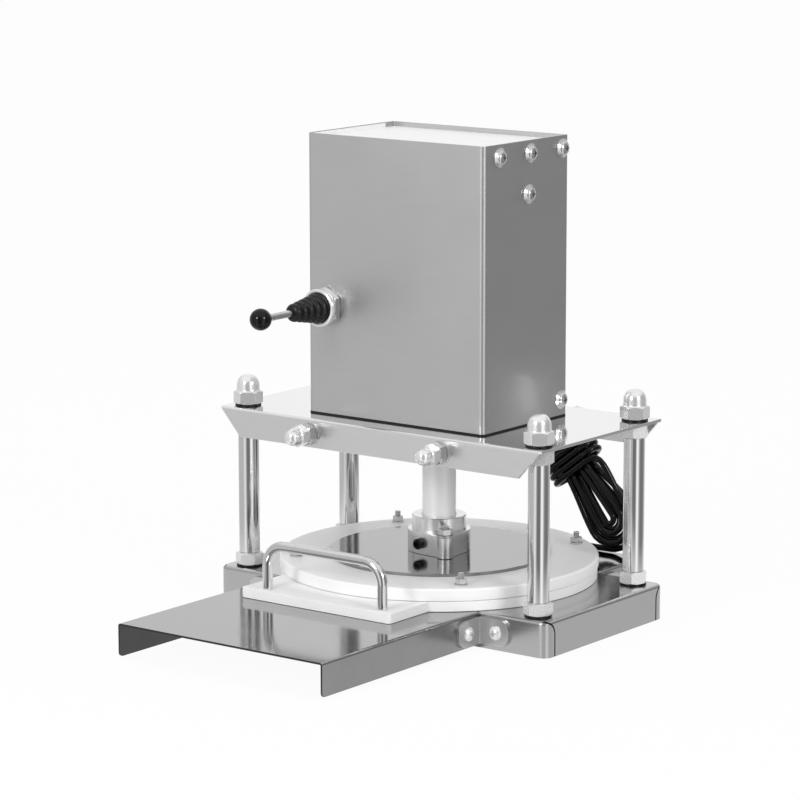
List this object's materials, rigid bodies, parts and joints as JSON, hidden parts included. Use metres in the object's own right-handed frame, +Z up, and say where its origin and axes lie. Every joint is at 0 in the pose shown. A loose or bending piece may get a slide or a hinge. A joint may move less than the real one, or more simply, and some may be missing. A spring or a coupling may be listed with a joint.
{
  "type": "pizza dough press",
  "caption": "Countertop press that flattens dough balls between a screw-driven round plate and a sliding board, with a joystick on a steel drive housing.",
  "frame": {"origin": "on the table, under the middle of the base with its tray and shelf", "axes": "+Z up along the ram, +Y to the rear, +X to the right as seen from the tray"},
  "size_m": [0.385, 0.5259, 0.4565],
  "materials": {
    "polished_steel": "polished stainless sheet",
    "satin_steel": "satin stainless sheet",
    "chromed_steel": "bright polished",
    "plain_steel": "turned",
    "black_steel": "blackened",
    "aluminium": "turned and anodised",
    "bronze": "turned",
    "white_plastic": "smooth",
    "black_plastic": "moulded",
    "black_rubber": "matt",
    "cord_sheath": "smooth sheath",
    "circuit": "lacquered"
  },
  "bodies": {
    "frame": {"base_pan": "polished_steel", "tray": "polished_steel", "rear_shelf": "polished_steel", "top_plate": "polished_steel", "top_cover": "polished_steel", "housing": "satin_steel", "rear_cover": "satin_steel", "corner_brackets": "satin_steel", "post_front_left": "chromed_steel", "post_front_right": "chromed_steel", "post_rear_left": "chromed_steel", "post_rear_right": "chromed_steel", "post_cap_nuts": "chromed_steel", "tie_cap_nuts": "chromed_steel", "housing_screws": "chromed_steel", "joystick_bezel": "chromed_steel", "bracket_bolts": "chromed_steel", "post_foot_nuts": "plain_steel", "post_base_nuts": "plain_steel", "post_upper_nuts": "plain_steel", "tie_rods": "plain_steel", "tie_nuts": "plain_steel", "guide_block": "plain_steel", "guide_screws": "plain_steel", "lever_pin": "plain_steel", "drive_tube": "plain_steel", "gearbox_screws": "plain_steel", "drive_bracket": "plain_steel", "motor": "plain_steel", "screw_bearings": "plain_steel", "gearbox_case": "aluminium", "gearbox_lid": "aluminium", "guide_bush": "bronze", "joystick_body": "black_plastic", "cord_gland": "black_plastic", "plug": "black_plastic", "housing_gasket": "black_rubber", "lever_boot": "black_rubber", "cord_lead": "cord_sheath", "cord_wrap": "cord_sheath", "cord_hank": "cord_sheath", "cord_tail": "cord_sheath", "control_board": "circuit"},
    "ram": {"ram_tube": "aluminium", "lead_nut": "bronze", "press_collar": "aluminium", "collar_screw": "black_steel", "collar_studs": "plain_steel", "backing_disc": "polished_steel", "press_plate": "white_plastic", "plate_studs": "plain_steel"},
    "screw": {"lead_screw": "plain_steel", "screw_gear": "plain_steel"},
    "pinion": {"motor_pinion": "plain_steel"},
    "lever": {"lever_rod": "chromed_steel", "ball_knob": "black_plastic"},
    "board": {"sliding_board": "white_plastic", "board_handle": "chromed_steel", "handle_screws": "plain_steel"}
  },
  "joints": [
    {"name": "ram_slide", "type": "slide", "parent": "frame", "child": "ram", "axis": [0, 0, 1], "range_m": [0, 0.058]},
    {"name": "screw_spin", "type": "hinge", "parent": "frame", "child": "screw", "pos_m": [0, 0.075, 0.34], "axis": [0, 0, 1], "range_deg": [0, 2090]},
    {"name": "pinion_spin", "type": "hinge", "parent": "frame", "child": "pinion", "pos_m": [0.054, 0.075, 0.36], "axis": [0, 0, 1], "range_deg": [-6266, 0]},
    {"name": "lever_tilt", "type": "hinge", "parent": "frame", "child": "lever", "pos_m": [-0.076, -0.0049, 0.2945], "axis": [1, 0, 0], "range_deg": [-20, 20], "stiffness_Nm_per_rad": 1.2, "deforming": ["lever_boot"]},
    {"name": "board_slide", "type": "slide", "parent": "frame", "child": "board", "axis": [0, -1, 0], "range_m": [0, 0.2]}
  ],
  "couplings": [
    {"joint": "screw_spin", "follows": "ram_slide", "rad_per_m": 628.32},
    {"joint": "pinion_spin", "follows": "ram_slide", "rad_per_m": -1885}
  ]
}
